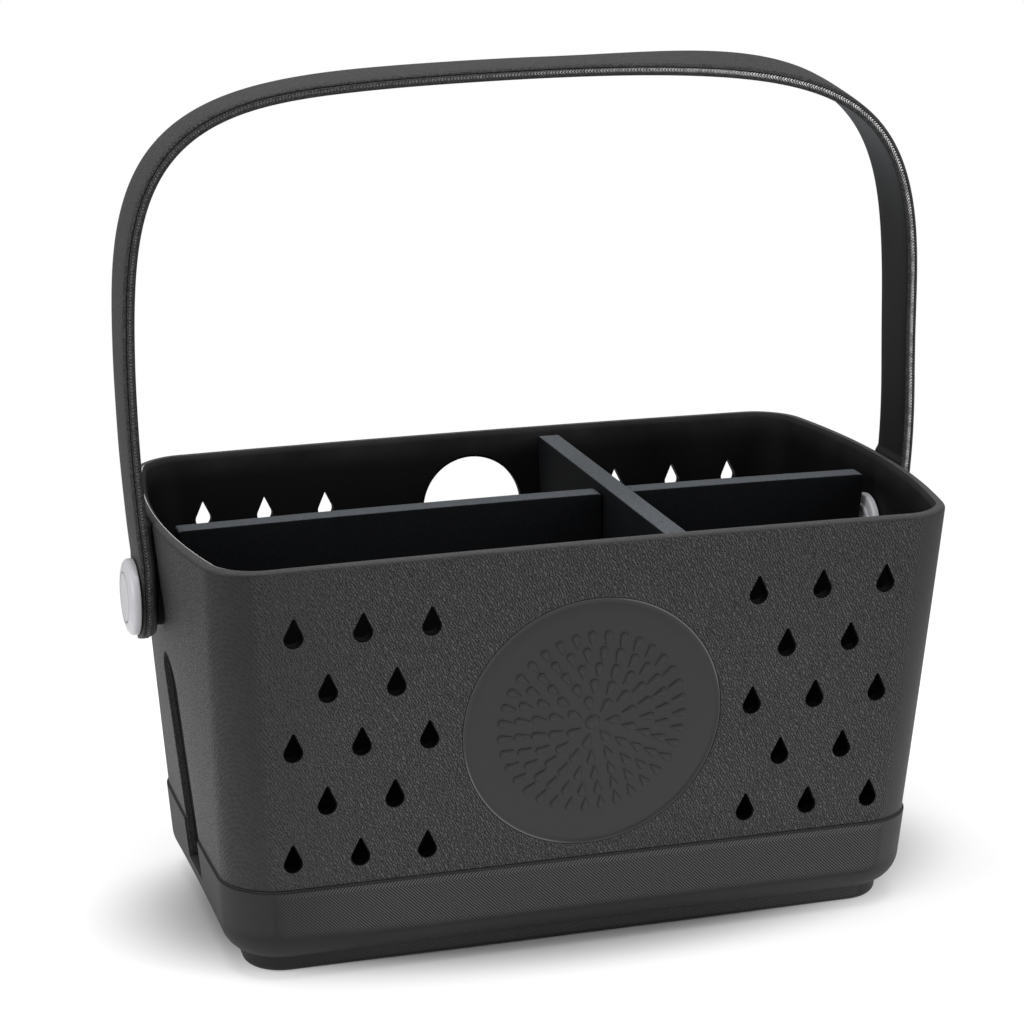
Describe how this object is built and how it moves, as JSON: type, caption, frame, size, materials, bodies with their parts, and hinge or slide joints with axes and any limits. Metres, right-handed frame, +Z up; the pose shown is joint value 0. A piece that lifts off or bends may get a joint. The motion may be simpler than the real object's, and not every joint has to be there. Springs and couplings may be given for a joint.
{
  "type": "bath caddy",
  "caption": "Dark foam bath caddy with tapered walls, drop-shaped vents, a round front panel, a swinging strap handle and lift-out cross dividers.",
  "frame": {"origin": "middle of the sole, on the surface the caddy stands on", "axes": "+Z up, X along the caddy's length and the pivot line, the front with the round panel faces -Y"},
  "size_m": [0.3776, 0.2074, 0.3868],
  "materials": {
    "charcoal_foam": "fine pebble grain outside, matt inside",
    "strap_foam": "satin, fine grain",
    "divider_foam": "matt",
    "pale_plastic": "satin"
  },
  "bodies": {
    "tub": {"tub": "charcoal_foam", "button_left": "pale_plastic", "button_right": "pale_plastic", "inner_cap_left": "pale_plastic", "inner_cap_right": "pale_plastic"},
    "handle": {"strap_handle": "strap_foam"},
    "long_board": {"long_divider": "divider_foam"},
    "cross_board": {"cross_divider": "divider_foam"}
  },
  "joints": [
    {"name": "handle_swing", "type": "hinge", "parent": "tub", "child": "handle", "pos_m": [0, 0, 0.1565], "axis": [1, 0, 0], "range_deg": [-120, 120]},
    {"name": "long_divider_lift", "type": "slide", "parent": "tub", "child": "long_board", "axis": [0, 0, 1], "range_m": [0, 0.15]},
    {"name": "cross_divider_lift", "type": "slide", "parent": "long_board", "child": "cross_board", "axis": [0, 0, 1], "range_m": [0, 0.1845]}
  ]
}
